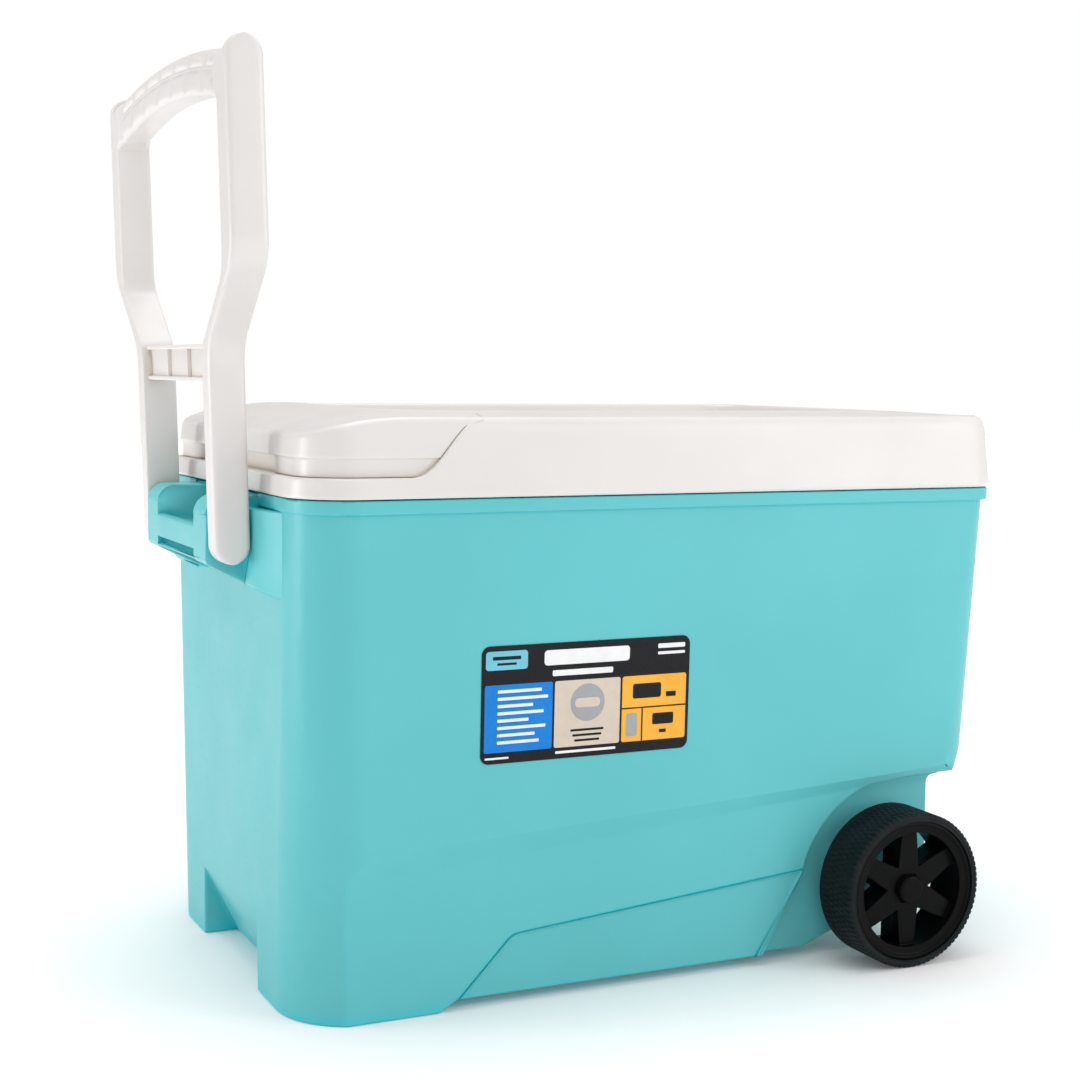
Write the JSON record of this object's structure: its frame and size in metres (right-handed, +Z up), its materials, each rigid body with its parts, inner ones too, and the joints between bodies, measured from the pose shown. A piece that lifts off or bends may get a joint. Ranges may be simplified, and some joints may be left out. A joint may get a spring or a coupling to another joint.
{
  "type": "wheeled cooler",
  "caption": "Insulated picnic cooler on two wheels, with a hinged white lid with a shallow tray and a swing-up tow handle at the other end.",
  "frame": {"origin": "under the centre of the whole object's box, on the surface that it stands on, with the tow handle up", "axes": "+Z up, +X along the length towards the wheels, -Y out of the long side that carries the label"},
  "size_m": [0.604, 0.424, 0.6407],
  "materials": {
    "teal_plastic": "satin",
    "white_plastic": "satin",
    "white_liner": "gloss",
    "foam": "matte",
    "black_plastic": "satin",
    "tyre_rubber": "satin",
    "steel": "satin",
    "label_film": "gloss"
  },
  "bodies": {
    "body": {"body_shell": "teal_plastic", "body_foam": "foam", "body_liner": "white_liner", "handle_bracket": "teal_plastic", "label_plate": "label_film", "axle": "steel", "axle_sleeve": "black_plastic", "front_axle_spacer": "black_plastic", "back_axle_spacer": "black_plastic", "front_push_nut": "steel", "back_push_nut": "steel", "front_body_hinge_leaf": "white_plastic", "back_body_hinge_leaf": "white_plastic", "front_hinge_pin": "steel", "back_hinge_pin": "steel", "body_hinge_screws": "steel"},
    "lid": {"lid_frame": "white_plastic", "lid_top": "white_plastic", "lid_foam": "foam", "lid_liner": "white_liner", "front_lid_hinge_leaf": "white_plastic", "back_lid_hinge_leaf": "white_plastic", "lid_hinge_screws": "steel"},
    "handle": {"tow_handle": "white_plastic", "handle_pivot_rod": "steel"},
    "front_wheel": {"front_wheel_rim": "black_plastic", "front_tyre": "tyre_rubber", "front_hub_cap": "black_plastic"},
    "back_wheel": {"back_wheel_rim": "black_plastic", "back_tyre": "tyre_rubber", "back_hub_cap": "black_plastic"}
  },
  "joints": [
    {"name": "lid_hinge", "type": "hinge", "parent": "body", "child": "lid", "pos_m": [0.29701, 0, 0.35], "axis": [0, 1, 0], "range_deg": [0, 100]},
    {"name": "handle_pivot", "type": "hinge", "parent": "body", "child": "handle", "pos_m": [-0.28049, 0, 0.315], "axis": [0, -1, 0], "range_deg": [0, 145]},
    {"name": "front_wheel_spin", "type": "hinge", "parent": "body", "child": "front_wheel", "pos_m": [0.19701, -0.192, 0.0573], "axis": [0, 1, 0], "continuous": true},
    {"name": "back_wheel_spin", "type": "hinge", "parent": "body", "child": "back_wheel", "pos_m": [0.19701, 0.192, 0.0573], "axis": [0, 1, 0], "continuous": true}
  ]
}
